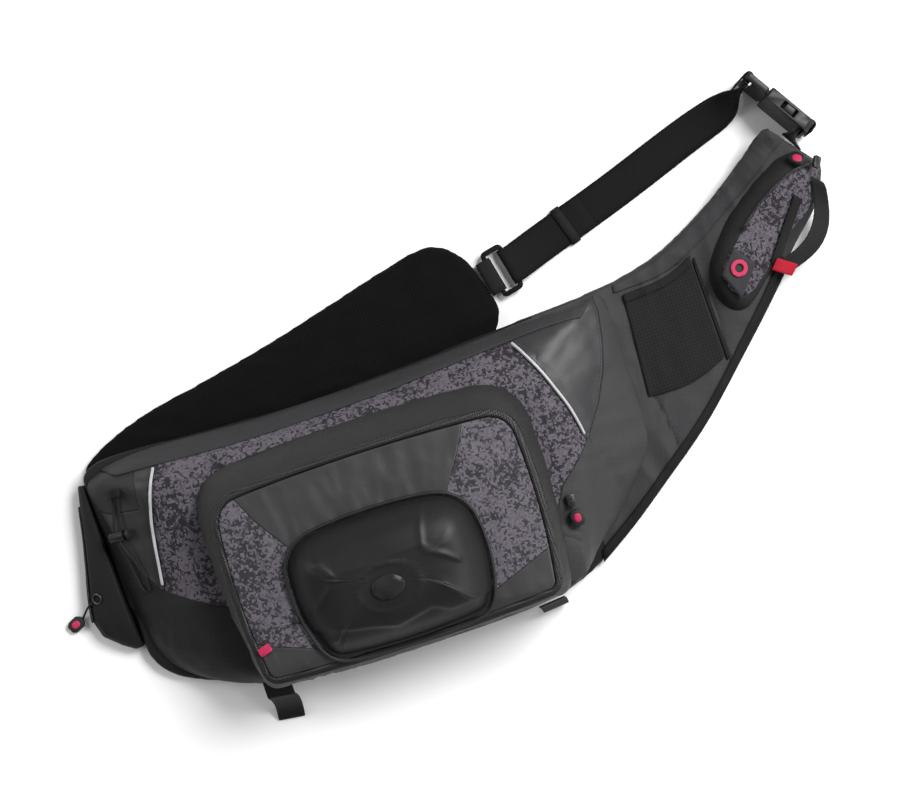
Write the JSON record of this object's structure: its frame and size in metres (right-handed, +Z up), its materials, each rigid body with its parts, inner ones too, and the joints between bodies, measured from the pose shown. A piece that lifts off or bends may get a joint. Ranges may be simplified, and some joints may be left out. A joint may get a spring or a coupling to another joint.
{
  "type": "fishing tackle sling bag",
  "caption": "Padded sling bag for fishing tackle with a zipped front pocket under a moulded dome, a shoulder pocket, a folded belt wing and a webbing strap with a buckle.",
  "frame": {"origin": "middle of the footprint of the bag, without the free pull cord, on the surface that it lies on", "axes": "+X along the bag's top edge toward the harness, +Y from the bag's bottom edge to its top edge, +Z up from the back to the front pocket"},
  "size_m": [0.7938, 0.4368, 0.1358],
  "materials": {
    "ripstop": "fine ripstop weave, matt",
    "band": "plain woven nylon band, matt",
    "camo": null,
    "mesh": "spacer mesh, matt black",
    "webbing": "woven webbing, matt black",
    "leather": "coated cloth with a fine grain, dark grey",
    "moulded": "moulded foam skin, dark grey",
    "reflective": "silver reflective piping",
    "plastic": "moulded acetal, black",
    "pink": "soft rubber, dark pink",
    "red": "woven edge label, plain red",
    "zip": "coated coil zip, black",
    "metal": "zinc alloy, dull"
  },
  "bodies": {
    "bag": {"back_pad": "ripstop", "edge_binding": "webbing", "main_shell": "camo", "top_band": "band", "shoulder_band": "band", "piping_left": "reflective", "piping_right": "reflective", "pocket_gusset": "ripstop", "pocket_zip": "zip", "pocket_panel": "leather", "dome": "moulded", "dome_piping": "plastic", "dome_badge": "moulded", "flat_pocket": "mesh", "flat_pocket_hem": "webbing", "harness_seam": "webbing", "shoulder_pocket": "camo", "shoulder_pocket_zip": "zip", "shoulder_patch": "leather", "eyelet": "pink", "sewn_strip": "leather", "webbing_loop": "webbing", "wing": "mesh", "wing_pocket": "ripstop", "wing_zip": "zip", "wing_slider": "metal", "wing_pull_cord": "plastic", "wing_puller": "plastic", "strap_ring": "plastic", "wing_tab": "webbing", "buckle_male": "plastic", "buckle_female": "plastic", "strap": "webbing", "strap_keeper": "webbing", "buckle_tab": "webbing", "shock_cord": "plastic", "cord_lock_barrel": "plastic", "cord_guide": "webbing", "bottom_tab_left": "webbing", "bottom_tab_right": "webbing", "pocket_slider": "metal", "pocket_puller": "plastic", "shoulder_slider": "metal", "shoulder_puller": "plastic", "pink_tab": "pink", "dome_slider": "metal", "side_label": "red"},
    "lock_button": {"cord_lock_button": "plastic"}
  },
  "joints": [
    {"name": "cord_lock_press", "type": "slide", "parent": "bag", "child": "lock_button", "axis": [-0.9081, 0.0239, -0.4181], "range_m": [0, 0.003], "stiffness_N_per_m": 250, "springref_m": -0.002}
  ]
}
